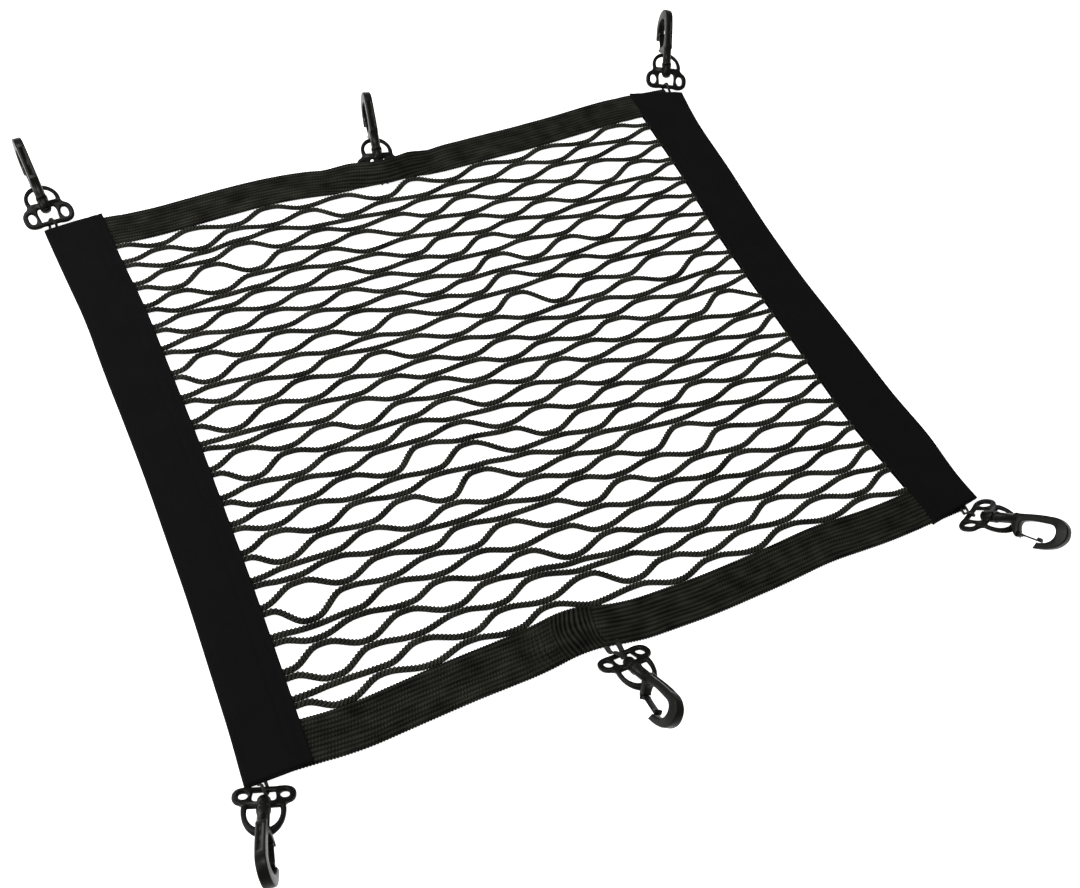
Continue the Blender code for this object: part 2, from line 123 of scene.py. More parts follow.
# %% Node helper
def add_node(tree, kind, links=(), **settings):
    """Adds a node. Settings name its properties or its inputs, and links give (output, input)."""
    made = tree.nodes.new(kind)
    for name, value in settings.items():
        if hasattr(made, name):
            setattr(made, name, value)
        else:
            made.inputs[name.replace("_", " ")].default_value = value
    for output, name in links:
        tree.links.new(output, made.inputs[name])
    return made


def blank(name, **settings):
    """A new material with its principled shader, whose even values are set on its own sockets."""
    made = bpy.data.materials.new(name)
    made.use_nodes = True
    shader = made.node_tree.nodes["Principled BSDF"]
    for socket, value in settings.items():
        shader.inputs[socket.replace("_", " ")].default_value = value
    return made, made.node_tree, shader


def two_tones(tree, factor, dark, light):
    mix = add_node(tree, "ShaderNodeMix", data_type="RGBA")
    mix.inputs[6].default_value = colour(dark)
    mix.inputs[7].default_value = colour(light)
    tree.links.new(factor, mix.inputs[0])
    return mix.outputs[2]


# %% [markdown]
# Knitted polyester: dull black yarn. The stitches themselves are in the mesh, and an attribute
# called crest tells the material where a stitch stands out, because a stitch's top catches light
# and the gaps between stitches stay dark. Yarn fibres are a fine bump of about 0.4 mm.

# %% Knitted polyester yarn
def knitted_yarn(name, dark, light):
    made, tree, shader = blank(name, Roughness=0.92, IOR=1.53, Specular_IOR_Level=0.06)
    crest = add_node(tree, "ShaderNodeAttribute", attribute_name="crest")
    place_in = add_node(tree, "ShaderNodeTexCoord")
    fibre = add_node(
        tree, "ShaderNodeTexNoise", [(place_in.outputs["Object"], "Vector")], Scale=2400.0, Detail=2.0
    )
    spread = add_node(
        tree, "ShaderNodeTexNoise", [(place_in.outputs["Object"], "Vector")], Scale=55.0, Detail=2.0
    )
    mixed = add_node(
        tree, "ShaderNodeMath", [(crest.outputs["Fac"], 0), (spread.outputs["Fac"], 1)], operation="MULTIPLY"
    )
    shade = add_node(tree, "ShaderNodeMapRange", [(mixed.outputs[0], "Value")], From_Min=0.04, From_Max=0.5)
    tree.links.new(two_tones(tree, shade.outputs["Result"], dark, light), shader.inputs["Base Color"])
    bump = add_node(
        tree, "ShaderNodeBump", [(fibre.outputs["Fac"], "Height")], Strength=0.5, Distance=0.0003
    )
    tree.links.new(bump.outputs["Normal"], shader.inputs["Normal"])
    return made


cord_yarn = knitted_yarn("knitted_polyester_cord", "#030303", "#3b3b34")
band_yarn = knitted_yarn("knitted_polyester_band", "#040403", "#36362f")

# %% [markdown]
# Woven polyester tape: a dense plain weave with a soft finish. Threads are 0.9 mm apart here,
# about twice the real ones, so that the weave shows. The pattern follows the piece's UV map,
# which is in metres along and across the tape.

# %% Woven polyester tape
def woven_tape():
    made, tree, shader = blank(
        "woven_polyester_tape", Roughness=0.88, IOR=1.53, Specular_IOR_Level=0.05
    )
    cloth = add_node(tree, "ShaderNodeUVMap", uv_map="cloth")
    waves = []
    for direction in ("X", "Y"):
        wave = add_node(tree, "ShaderNodeTexWave", [(cloth.outputs["UV"], "Vector")], Distortion=0.6)
        wave.bands_direction = direction
        wave.inputs["Scale"].default_value = 2 * math.pi / (20 * 0.0009)
        waves.append(wave)
    weave = add_node(
        tree,
        "ShaderNodeMath",
        [(waves[0].outputs["Fac"], 0), (waves[1].outputs["Fac"], 1)],
        operation="MULTIPLY",
    )
    patch = add_node(tree, "ShaderNodeTexNoise", [(cloth.outputs["UV"], "Vector")], Scale=38.0, Detail=3.0)
    both = add_node(
        tree, "ShaderNodeMath", [(weave.outputs[0], 0), (patch.outputs["Fac"], 1)], operation="MULTIPLY"
    )
    tree.links.new(two_tones(tree, both.outputs[0], "#0b0b0c", "#1b1b1d"), shader.inputs["Base Color"])
    bump = add_node(
        tree, "ShaderNodeBump", [(weave.outputs[0], "Height")], Strength=0.45, Distance=0.0003
    )
    tree.links.new(bump.outputs["Normal"], shader.inputs["Normal"])
    return made


tape_cloth = woven_tape()

# %% [markdown]
# Moulded acetal: a hard black plastic with a low gloss from the mould's polished faces. Flow marks
# and handling leave the gloss slightly uneven, and the skin has a very fine grain.

# %% Moulded acetal
def moulded_acetal(name, dark, light, gloss):
    made, tree, shader = blank(name, IOR=1.48, Specular_IOR_Level=0.12)
    place_in = add_node(tree, "ShaderNodeTexCoord")
    rubbed = add_node(
        tree, "ShaderNodeTexNoise", [(place_in.outputs["Object"], "Vector")], Scale=160.0, Detail=4.0
    )
    grain = add_node(
        tree, "ShaderNodeTexNoise", [(place_in.outputs["Object"], "Vector")], Scale=1500.0, Detail=2.0
    )
    tree.links.new(two_tones(tree, rubbed.outputs["Fac"], dark, light), shader.inputs["Base Color"])
    rough = add_node(tree, "ShaderNodeMapRange", [(rubbed.outputs["Fac"], "Value")])
    rough.inputs["To Min"].default_value = gloss - 0.06
    rough.inputs["To Max"].default_value = gloss + 0.1
    tree.links.new(rough.outputs["Result"], shader.inputs["Roughness"])
    bump = add_node(
        tree, "ShaderNodeBump", [(grain.outputs["Fac"], "Height")], Strength=0.12, Distance=0.0001
    )
    tree.links.new(bump.outputs["Normal"], shader.inputs["Normal"])
    return made


hook_acetal = moulded_acetal("moulded_acetal_hook", "#0a0a08", "#12120e", 0.32)
plate_acetal = moulded_acetal("moulded_acetal_plate", "#050504", "#0b0b09", 0.38)
gate_acetal = moulded_acetal("moulded_acetal_gate", "#050504", "#0b0b09", 0.38)

# %% [markdown]
# Braided elastic: rubber under a braided cover, whose threads cross about every 1.2 mm.

# %% Braided elastic
def braided_elastic():
    made, tree, shader = blank("braided_elastic", Roughness=0.85, IOR=1.5, Specular_IOR_Level=0.25)
    place_in = add_node(tree, "ShaderNodeTexCoord")
    braid = add_node(
        tree, "ShaderNodeTexVoronoi", [(place_in.outputs["Object"], "Vector")], Scale=850.0
    )
    tone = two_tones(tree, braid.outputs["Distance"], "#151513", "#2b2b27")
    tree.links.new(tone, shader.inputs["Base Color"])
    bump = add_node(
        tree, "ShaderNodeBump", [(braid.outputs["Distance"], "Height")], Strength=0.6, Distance=0.0004
    )
    tree.links.new(bump.outputs["Normal"], shader.inputs["Normal"])
    return made


elastic = braided_elastic()
white_floor, _, _ = blank(
    "white_light_table",
    Base_Color=colour("#f2f2f2"),
    Roughness=0.9,
    Emission_Color=colour("#ffffff"),
    Emission_Strength=0.9,
)
floor.data.materials.append(white_floor)
print("materials:", len(bpy.data.materials))

# %% [markdown]
# ## Where the net lies
# The net is uneven, as cloth that was dropped on the ground is. A few short tables give its
# edges, in millimetres from the middle of the cloth, and the heights of its openings follow from
# a seeded spread, with some that were pulled wide or pushed shut.

# %% Edges and openings
SHIFT = (-0.5556, 2.2010)
CORD = 5.6
CORD_HEIGHT = 3.0
STITCH = 3.3
ROWS = 19
COLUMNS = (-292, -260, -224, -187, -150, -113.5, -76, -35, 3, 40, 78.5, 117, 156, 198, 241, 280)
SPOTS = (
    # x, y, change of the opening's height
    (-262, -129, -10), (-267, 5, -10), (-264, -207, 8), (-261, -22, 9), (-260, 87, 9), (-258, -153, 14),
    (-219, 185, 12), (-184, 201, 12), (-152, -124, 7), (-151, -5, 7), (-113, 61, -8), (-111, -78, 9),
    (-113, -110, 5), (-76, -88, 7), (-77, -126, 8), (-76, -151, -8), (-67, 211, -8), (-43, -215, -13),
    (-31, 221, -7), (-1, -63, 7), (44, 61, 8), (54, 224, -7), (85, 78, 8), (116, -136, 10), (162, 158, -7),
    (213, 201, 8), (214, 67, 10), (248, -6, 8), (268, -21, -9),
)
TOP_EDGE = (
    # x, y
    (-350, 283), (-255, 281), (-208, 285), (-150, 289), (-113, 288), (-80, 283.5), (-49, 271.8),
    (-36, 269.5), (-11, 269.5), (2, 271.8), (40, 282.5), (75, 284), (147, 287.6), (194, 291.3),
    (241, 296.4), (265, 297), (350, 294),
)
BOTTOM_EDGE = (
    # x, y
    (-350, -290), (-260, -297.5), (-170, -293.5), (-105, -293), (-66, -288), (-40, -292), (-20, -297),
    (50, -299), (123, -296.4), (175, -292.5), (240, -295), (350, -292),
)
TOP_BAND = ((-350, 36.5), (-80, 36), (-49, 25.8), (2, 25.8), (40, 36), (350, 36.5))
BOTTOM_BAND = ((-350, 37), (-280, 38), (-66, 41), (-20, 37), (350, 36.5))
LEFT_OUTER = (
    # y, x
    (-294, -351), (-255, -348), (-195, -346), (-135, -344), (-15, -343), (45, -344), (105, -345.6),
    (165, -345.6), (225, -350), (288, -354),
)
LEFT_INNER = (
    (-294, -298), (-255, -296.4), (-135, -292.6), (0, -291), (165, -292.5), (225, -297), (288, -299),
)
RIGHT_OUTER = (
    # y, x
    (-294, 348), (-255, 341.8), (-225, 344.3), (-195, 342.4), (-165, 338), (-75, 335), (0, 331),
    (75, 331.7), (165, 337), (225, 338), (255, 341), (294, 347.5),
)
RIGHT_INNER = (
    (-294, 290), (-255, 287), (-195, 279.4), (-165, 277), (-50, 276.5), (75, 275), (165, 281),
    (255, 282.5), (294, 284),
)


def along(table, place):
    """Value of a short table at a place, on straight lines between its rows."""
    if place <= table[0][0]:
        return table[0][1]
    for (low, first), (high, second) in zip(table, table[1:]):
        if place <= high:
            return first + (second - first) * (place - low) / (high - low)
    return table[-1][1]


def eased(value):
    value = max(0.0, min(1.0, value))
    return value * value * (3.0 - 2.0 * value)


def smoothed(table, place, reach=16.0):
    """The same value with the table's corners rounded, as the edge of cloth is."""
    return sum(along(table, place + reach * step / 3) for step in range(-3, 4)) / 7


def column_spans(column, heights):
    """Top and bottom of each opening of a column, whose heights keep the given proportions."""
    x = COLUMNS[column]
    top = along(TOP_EDGE, x) - along(TOP_BAND, x)
    bottom = along(BOTTOM_EDGE, x) + along(BOTTOM_BAND, x)
    scale = (top - bottom - (ROWS - 1) * 2 * CORD - CORD) / sum(heights)
    level = top - CORD if column % 2 == 0 else top
    spans = []
    for height in heights:
        spans.append((level, level - height * scale))
        level -= height * scale + 2 * CORD
    return spans


chance = random.Random(11)
heights = []
for _ in COLUMNS:
    slips = [0.0] + [chance.gauss(0.0, 1.3) for _ in range(ROWS - 1)] + [0.0]
    heights.append([16.2 + after - before for before, after in zip(slips, slips[1:])])
    heights[-1][-1 if len(heights) % 2 else 0] -= 8.1
first_spans = [column_spans(column, row) for column, row in enumerate(heights)]
for x, y, change in SPOTS:
    column, row = min(
        ((column, row) for column in range(len(COLUMNS)) for row in range(ROWS)),
        key=lambda at: abs(COLUMNS[at[0]] - x) + abs(sum(first_spans[at[0]][at[1]]) / 2 - y),
    )
    heights[column][row] = max(1.5, 16.2 + change)
    beside = [at for at in (row - 1, row + 1) if 0 <= at < ROWS]
    for at in beside:
        heights[column][at] = max(5.5, heights[column][at] - change / len(beside))
spans = [column_spans(column, row) for column, row in enumerate(heights)]
print("openings:", len(COLUMNS) * ROWS)

# %% [markdown]
# The cloth's levels: it lies flat on the ground, thins where it runs into the fold of a side
# tape, and rises where the far band covers the plate of the middle hook.

# %% Levels of the cloth
LIFT_AT = (-23.5, 79.0)
LIFT_PROFILE = (
    # distance in from the edge, height of the underside
    (0, 11.2), (6, 10.1), (12, 9.4), (14.5, 8.6), (19, 6.4), (28, 2.9), (38, 0),
)


def lift(x, y):
    inward = smoothed(TOP_EDGE, x, 8.0) - y
    across = abs(x - (LIFT_AT[0] - inward / math.tan(math.radians(LIFT_AT[1]))))
    return along(LIFT_PROFILE, inward) * (1.0 - eased((across - 25.0) / 37.0))


def in_tape(x, y):
    """1 between the layers of a side tape, 0 out in the open."""
    beyond = min(x - along(LEFT_INNER, y), along(RIGHT_INNER, y) - x)
    return max(0.0, min(1.0, (17.0 - beyond) / 9.0))


def cloth_level(x, y):
    """Height of the cloth's middle and its thickness at a place."""
    inside = in_tape(x, y)
    return lift(x, y) + 1.5 + 0.8 * inside, CORD_HEIGHT - inside


def row_frame(x, y, z):
    return Vector(((x + SHIFT[0]) * MM, (y + SHIFT[1]) * MM, z * MM))


# %% [markdown]
# ## Cords
# Each cord is one knitted strand that runs from tape to tape. It lies beside its upper neighbour
# in one column of knots and beside its lower neighbour in the next, which makes the diamonds. A
# curve with a round bevel gives the strand. Every other ring of its vertices swells, and each
# ring leans to one side by turns, as the loops of the knit do. Then the strand is pressed flat.

# %% Paths of the cords
def strand_level(strand, column):
    row, lower = divmod(strand - (column + 1) % 2, 2)
    high, low = spans[column][row]
    return low - CORD / 2 if lower else high + CORD / 2


def strand_path(strand, wander):
    """Points of one cord, half a stitch apart, with its soft bends at the knots."""
    knots = []
    for column, x in enumerate(COLUMNS):
        level = strand_level(strand, column)
        middle = x + wander.gauss(0.0, 1.3)
        half = 6.2 + wander.gauss(0.0, 0.7)
        knots += [(middle - half, level), (middle + half, level)]
    left = along(LEFT_INNER, knots[0][1]) - 8.0
    end = along(RIGHT_INNER, knots[-1][1]) + 8.0
    step = 0.8
    count = int((end - left) / step)
    raw = []
    for at in range(count + 1):
        x = left + step * at
        value = knots[0][1] if x < knots[0][0] else knots[-1][1]
        for (low, first), (high, second) in zip(knots, knots[1:]):
            if low <= x <= high:
                part = (x - low) / max(high - low, 1e-6)
                value = first + (second - first) * (0.45 * part + 0.55 * eased(part))
                break
        raw.append(value)
    for _ in range(2):
        window = 4
        sums = [0.0]
        for value in raw:
            sums.append(sums[-1] + value)
        raw = [
            (sums[min(at + window, count) + 1] - sums[max(at - window, 0)])
            / (min(at + window, count) + 1 - max(at - window, 0))
            for at in range(count + 1)
        ]
    points, travelled, wanted = [(left, raw[0])], 0.0, STITCH / 2
    for at in range(count):
        run = math.hypot(step, raw[at + 1] - raw[at])
        while travelled + run >= wanted:
            part = (wanted - travelled) / run
            points.append((left + step * (at + part), raw[at] + (raw[at + 1] - raw[at]) * part))
            wanted += STITCH / 2
        travelled += run
    return points


wander = random.Random(7)
paths = [strand_path(strand, wander) for strand in range(1, 2 * ROWS)]
print("cords:", len(paths), "with", sum(len(path) for path in paths), "half stitches")


# %% Cords as meshes
def finish_mesh(bm, name, material, smooth=True, outward=True):
    if outward:
        bmesh.ops.recalc_face_normals(bm, faces=bm.faces)
    mesh = bpy.data.meshes.new(name)
    bm.to_mesh(mesh)
    bm.free()
    mesh.polygons.foreach_set("use_smooth", [smooth] * len(mesh.polygons))
    mesh.materials.append(material)
    made = bpy.data.objects.new(name, mesh)
    bpy.context.scene.collection.objects.link(made)
    return made


def baked(obj):
    """Turns a curve object into a bmesh with its doubles merged, and removes the curve."""
    bpy.context.view_layer.update()
    mesh = bpy.data.meshes.new_from_object(obj.evaluated_get(bpy.context.evaluated_depsgraph_get()))
    bpy.data.objects.remove(obj)
    bm = bmesh.new()
    bm.from_mesh(mesh)
    bpy.data.meshes.remove(mesh)
    bmesh.ops.remove_doubles(bm, verts=bm.verts, dist=1e-6)
    return bm


def cords(name, some_paths):
    curve = bpy.data.curves.new(name, "CURVE")
    curve.dimensions = "3D"
    curve.bevel_depth = CORD / 2 * MM
    curve.bevel_resolution = 2
    curve.use_fill_caps = True
    rings = []
    for path in some_paths:
        spline = curve.splines.new("POLY")
        spline.points.add(len(path) - 1)
        for at, (point, (x, y)) in enumerate(zip(spline.points, path)):
            middle, thick = cloth_level(x, y)
            centre = row_frame(x, y, middle)
            point.co = (*centre, 1.0)
            before, after = path[max(at - 1, 0)], path[min(at + 1, len(path) - 1)]
            beside = Vector((before[1] - after[1], after[0] - before[0], 0.0)).normalized()
            rings.append((centre, at % 2, thick / CORD, beside))
    holder = bpy.data.objects.new(name, curve)
    bpy.context.scene.collection.objects.link(holder)
    bm = baked(holder)
    tree = kdtree.KDTree(len(rings))
    for at, ring in enumerate(rings):
        tree.insert(ring[0], at)
    tree.balance()
    crest = bm.verts.layers.float.new("crest")
    for vert in bm.verts:
        _, at, _ = tree.find(vert.co)
        centre, odd, flat, beside = rings[at]
        away = vert.co - centre
        side = away.dot(beside) / max(away.length, 1e-9)
        swell = side if odd else -side
        vert[crest] = max(0.0, min(1.0, 0.3 + 1.3 * swell + (0.45 if odd else -0.25)))
        away *= 1.04 + 0.13 * swell + (0.09 if odd else -0.09)
        away.z *= flat
        vert.co = centre + away
        vert.co.z = max(vert.co.z, 0.03 * MM)
    return finish_mesh(bm, name, cord_yarn)


net_cords = []
for name, first, last in (("cords_far", 0, 13), ("cords_middle", 13, 25), ("cords_near", 25, 37)):
    made = cords(name, paths[first:last])
    net_cords.append(made)
    print(name, sum(len(face.vertices) - 2 for face in made.data.polygons), "triangles")

# %% [markdown]
# ## Bands
# The two wide bands are knitted in one piece with the cords. A grid is wrapped round the band's
# flat section, so that one closed shell has a top, a rounded rim and an underside. Ribs run along
# it every 3.65 mm and each rib has a stitch every 2.6 mm. The near band is gathered into about ten
# curved pleats beside its hook, and drawn into deeper ridges on the other side of it.

# %% Bands
RIB = 3.65
PLEAT = 4.0
BAND_THICK = 2.6
BAND_REACH = (-336.0, 328.0)


def pleats(x, across):
    """How strong the gather beside the middle hook is at a place of the near band, and its folds."""
    bent = x - 0.012 * (across - 18.0) ** 2
    strong = eased((bent + 92.0) / 10.0) + 0.35 * eased((bent + 132.0) / 30.0) * eased((-88.0 - bent) / 12.0)
    loose = 0.5 * noise.noise(Vector((x * 0.06, across * 0.05, 9.0)))
    return min(1.0, strong) * eased((-46.0 - bent) / 6.0), math.sin(2 * math.pi * (bent / PLEAT + loose))


def band(name, edge, width, inward, gathered):
    start, stop = BAND_REACH
    steps, ribs_across = 510, 42
    bm = bmesh.new()
    bmesh.ops.create_grid(bm, x_segments=steps, y_segments=2 * ribs_across, size=1.0)
    crest = bm.verts.layers.float.new("crest")
    for vert in bm.verts:
        step = round((vert.co.x + 1) / 2 * steps)
        round_at = round((vert.co.y + 1) * ribs_across) % (2 * ribs_across)
        above = round_at <= ribs_across
        share = (round_at if above else 2 * ribs_across - round_at) / ribs_across
        x = start + (stop - start) * step / steps
        wide = smoothed(width, x)
        outer = smoothed(edge, x)
        across = wide * share
        rim = min(share, 1 - share) * wide
        y = outer + inward * across
        middle, thick = cloth_level(x, y)
        drift = noise.noise(Vector((x * 0.035, across * 0.16, 7.0)))
        rib = math.cos(2 * math.pi * (across / RIB + 0.25 * drift))
        loose = 0.5 + 0.9 * noise.noise(Vector((x * 0.09, across * 0.3, 5.0)))
        stitch = loose * math.cos(math.pi * step + math.pi * math.floor(across / RIB + 0.5))
        ridged, pleated, fold = 0.0, 0.0, 0.0
        if gathered:
            ridged = eased((x + 50) / 10) * eased((85 - x) / 60)
            pleated, fold = pleats(x, across)
        stitch *= (1 - ridged) * (1 - pleated)
        relief = 0.22 * (1 + 0.9 * ridged) * (1 - pleated) * rib + 0.15 * stitch
        # The crest carries painted light and shade: rib tops, stitches and the raised side of each pleat are
        # painted lighter and the rest darker, with a random tone added on top.
        tone = 0.34 + 0.22 * (1 - pleated) * rib + 0.3 * stitch + pleated * (0.34 * fold - 0.02)
        vert[crest] = max(0.0, min(1.0, tone + 0.16 * noise.noise(Vector((x * 0.05, across * 0.22, 1.0)))))
        level = min(thick, BAND_THICK) / 2 * (1.0 if rim > 2.0 else 0.3 + 0.7 * math.sqrt(rim / 2.0))
        z = middle + (level + relief - 0.3) * (1 if above else -1)
        if rim > 0.4 and above:
            z += (0.8 * fold + 0.6) * pleated
        if rim < 0.5:
            y += -inward * (1 if share < 0.5 else -1) * (0.45 if step % 2 else -0.25)
        z += 0.35 * noise.noise(Vector((x * 0.03, y * 0.05, 3.0))) * (1 if above else 0)
        vert.co = row_frame(x, y, max(z, 0.03))
    bmesh.ops.remove_doubles(bm, verts=bm.verts, dist=1e-6)
    rims = [side for side in bm.edges if side.is_boundary]
    bmesh.ops.holes_fill(bm, edges=rims)
    return finish_mesh(bm, name, band_yarn)


far_band = band("band_far", TOP_EDGE, TOP_BAND, -1, False)
near_band = band("band_near", BOTTOM_EDGE, BOTTOM_BAND, 1, True)
print("bands:", [round(side.dimensions.x * 1000) for side in (far_band, near_band)], "mm long")

# %% [markdown]
# ## Side tapes
# A tape is folded once round the net's edge and sewn down along its inner side. A grid is laid
# round the outside of the fold, and Solidify gives the cloth its thickness inwards. The seam
# pulls the cloth in along its stitches, and the wide part between swells and ripples a little.

# %% Side tapes
TAPE_ENDS = {
    # name: low end at the inner edge, low end at the outer edge, high end at both
    "tape_left": (-292.5, -292, 286, 279.6),
    "tape_right": (-294.5, -286.5, 297, 282.5),
}
SEAMS = (4.5, 13.5)


def side_tape(name):
    inner, outer, side = (
        (LEFT_INNER, LEFT_OUTER, 1) if name == "tape_left" else (RIGHT_INNER, RIGHT_OUTER, -1)
    )
    low_in, low_out, high_in, high_out = TAPE_ENDS[name]
    round_steps, flat_steps, steps = 8, 36, 190
    total = 2 * flat_steps + round_steps
    bm = bmesh.new()
    bmesh.ops.create_grid(bm, x_segments=steps, y_segments=total, size=1.0)
    cloth = bm.loops.layers.uv.new("cloth")
    spots = {}
    for vert in bm.verts:
        part = (vert.co.x + 1) / 2
        at = round((vert.co.y + 1) / 2 * total)
        if at < flat_steps:
            inset, fold, below = 1 - at / flat_steps, -90.0, True
        elif at <= flat_steps + round_steps:
            inset, fold, below = 0.0, -90 + 180 * (at - flat_steps) / round_steps, False
        else:
            inset, fold, below = (at - flat_steps - round_steps) / flat_steps, 90.0, False
        y = low_out + (high_out - low_out) * part
        y += (low_in + (high_in - low_in) * part - y) * inset
        edge_in, edge_out = smoothed(inner, y, 20.0), smoothed(outer, y, 20.0)
        bend = math.radians(fold)
        start = edge_out + side * 2.3 * (1 - math.cos(bend))
        x = start + (edge_in - start) * inset
        z = 2.3 + 2.3 * math.sin(bend)
        from_inner = abs(x - edge_in)
        if not below and fold > 0:
            swell = eased(from_inner / 24) * eased((abs(edge_out - edge_in) - from_inner) / 10)
            z += swell * (0.55 + 0.9 * noise.noise(Vector((x * 0.02, y * 0.028, 1.0 if side > 0 else 7.0))))
            z += 0.25 * swell * noise.noise(Vector((x * 0.06, y * 0.12, 4.0)))
            for seam in SEAMS:
                pull = math.exp(-(((from_inner - seam) / 1.1) ** 2))
                z -= pull * (0.32 + 0.1 * math.cos(2 * math.pi * y / 3.6))
        vert.co = row_frame(x, y, max(z, 0.02))
        across = inset * 52 if below else 110 - inset * 52
        spots[vert] = (y * MM, across * MM)
    for face in bm.faces:
        for corner in face.loops:
            corner[cloth].uv = spots[corner.vert]
    bmesh.ops.recalc_face_normals(bm, faces=bm.faces)
    top = max(bm.faces, key=lambda face: face.calc_center_median().z)
    if top.normal.z < 0:
        bmesh.ops.reverse_faces(bm, faces=bm.faces)
    made = finish_mesh(bm, name + "_cloth", tape_cloth, outward=False)
    wall = made.modifiers.new("cloth_thickness", "SOLIDIFY")
    wall.thickness = 1.0 * MM
    wall.offset = -1.0
    return made


tapes = {name: side_tape(name) for name in TAPE_ENDS}
print("tapes:", [len(made.data.polygons) for made in tapes.values()], "faces before their thickness")

# %% [markdown]
# ## Plates, hooks and gates
# All three are moulded parts with one flat outline, so each starts as a flat curve that passes
# through its outline's points, holes included. Extrude and a round bevel with a negative offset
# give it thickness and rounded sides without growing it. Turned parts, such as the boss round the
# pin, are a profile spun round the hook's long axis.

# %% Helpers for moulded parts
def outline_piece(name, loops, half, rounding, sharp=()):
    """A flat piece with rounded edges through closed outlines in mm. Points in sharp stay corners."""
    curve = bpy.data.curves.new(name, "CURVE")
    curve.dimensions = "2D"
    curve.fill_mode = "BOTH"
    curve.extrude = (half - rounding) * MM
    curve.bevel_depth = rounding * MM
    curve.bevel_resolution = 3
    curve.offset = -rounding * MM
    curve.resolution_u = 5
    for loop in loops:
        spline = curve.splines.new("BEZIER")
        spline.use_cyclic_u = True
        spline.bezier_points.add(len(loop) - 1)
        for point, (x, y) in zip(spline.bezier_points, loop):
            point.co = (x * MM, y * MM, 0.0)
            kind = "VECTOR" if (x, y) in sharp else "AUTO"
            point.handle_left_type = point.handle_right_type = kind
    holder = bpy.data.objects.new(name, curve)
    bpy.context.scene.collection.objects.link(holder)
    return baked(holder)


def turned(bm, profile, sides=32):
    """Spins a closed profile of (radius, height) pairs in mm round the Y axis."""
    verts = [bm.verts.new((radius * MM, height * MM, 0.0)) for radius, height in profile]
    edges = [bm.edges.new(pair) for pair in zip(verts, verts[1:])]
    if profile[0][0] > 0:
        edges.append(bm.edges.new((verts[-1], verts[0])))
    bmesh.ops.spin(
        bm, geom=verts + edges, cent=(0, 0, 0), axis=(0, 1, 0), angle=2 * math.pi, steps=sides, use_merge=True
    )
    bmesh.ops.remove_doubles(bm, verts=bm.verts, dist=2e-6)
    bmesh.ops.recalc_face_normals(bm, faces=bm.faces)


def turned_object(name, profile, sides=32):
    bm = bmesh.new()
    turned(bm, profile, sides)
    return finish_mesh(bm, name, plate_acetal)


def cut_or_join(obj, tools):
    """Applies a list of (operation, tool object) booleans to a piece and removes the tools."""
    for operation, tool in tools:
        step = obj.modifiers.new(tool.name, "BOOLEAN")
        step.operation = operation
        step.solver = "EXACT"
        step.object = tool
    bpy.context.view_layer.update()
    mesh = bpy.data.meshes.new_from_object(obj.evaluated_get(bpy.context.evaluated_depsgraph_get()))
    for _, tool in tools:
        bpy.data.objects.remove(tool)
    obj.modifiers.clear()
    obj.data = mesh
    return obj


def put(obj, name, matrix, body, slot, *nodes):
    """A copy of a piece in its place, riding on its body and standing for its nodes."""
    mesh = obj.data.copy()
    mesh.transform(matrix)
    mesh.name = name
    made = bpy.data.objects.new(name, mesh)
    bpy.context.scene.collection.objects.link(made)
    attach(made, body)
    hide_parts(*nodes)
    return made


def mirrored(half):
    return [(x, y) for x, y in half] + [(-x, y) for x, y in reversed(half)]


# %% [markdown]
# The plate: a round bar bent to a ring in front, two ears with eyes and a straight bar behind,
# with a boss on its crossbar that holds the hook's pin. The ring is set down, so that the hook's
# neck passes over it.

# %% Plate
PLATE = (
    (8, -21.2), (12, -21.8), (16.5, -21.4), (20.3, -19.3), (22.4, -15.8), (23, -11.5), (22.4, -7.2),
    (20.3, -3.6), (17.2, -1.2), (15.9, 0.8), (16, 5.2), (15.4, 10.7), (13.4, 16.2), (9.8, 21), (5.2, 23.9),
)
EYE = ((13, -16), (16, -16.6), (17.7, -14.6), (18.1, -11.5), (17.7, -8.4), (16, -6.4), (13, -7))
MIDDLE = ((8, -16.8), (8, -4.8), (6.6, -3.3))
RING = ((11.5, 3.1), (11.9, 6.4), (11.3, 11.2), (9.3, 15.2), (6.2, 18), (2.8, 19.2))
RING_START, RING_SLOPE = 3.0, 0.42

bm = outline_piece(
    "plate",
    [mirrored(PLATE), mirrored(MIDDLE), mirrored(RING), list(EYE), [(-x, y) for x, y in reversed(EYE)]],
    1.9, 1.5,
    sharp=mirrored([(8, -21.2), (8, -16.8), (6.6, -3.3), (11.5, 3.1)]),
)
bmesh.ops.bisect_plane(
    bm, geom=bm.verts[:] + bm.edges[:] + bm.faces[:], plane_co=(0, RING_START * MM, 0), plane_no=(0, 1, 0)
)
for vert in bm.verts:
    vert.co.z -= RING_SLOPE * max(0.0, vert.co.y - RING_START * MM)
plate = finish_mesh(bm, "plate", plate_acetal)
tools = [
    ("UNION", turned_object("boss", ((0, -5), (4.6, -5), (5.1, -4.5), (5.1, 4.5), (4.6, 5), (0, 5)))),
    ("DIFFERENCE", turned_object("bore", ((0, -8), (3.8, -8), (3.8, 8), (0, 8)))),
]
cut_or_join(plate, tools)
print("plate:", [round(value * 1000, 1) for value in plate.dimensions], "mm")

# %% [markdown]
# The hook: a flat bend on a square root block, with a groove down its spine between two ridges,
# and a pin with a snap head that turns in the plate's boss.

# %% Hook
HOOK = (
    (-15.8, 29.4), (-9, 25), (4.6, 25), (5, 31), (4.5, 61), (3.3, 67), (0.2, 72), (-4, 75.1), (-9, 76),
    (-14.2, 75), (-18.6, 71.6), (-22, 66.4), (-23.8, 60), (-24.5, 53), (-24.5, 46), (-19, 49),
    (-19, 53.5), (-17.9, 58.6), (-15.4, 62.4), (-12, 64.5), (-8, 65), (-4.8, 63.8), (-2.8, 61.2),
    (-2, 57.6), (-1.6, 34), (-3.4, 31.6), (-9, 31.2), (-11.1, 32),
)
GATE_PIVOT = (-13.5, 32.0)


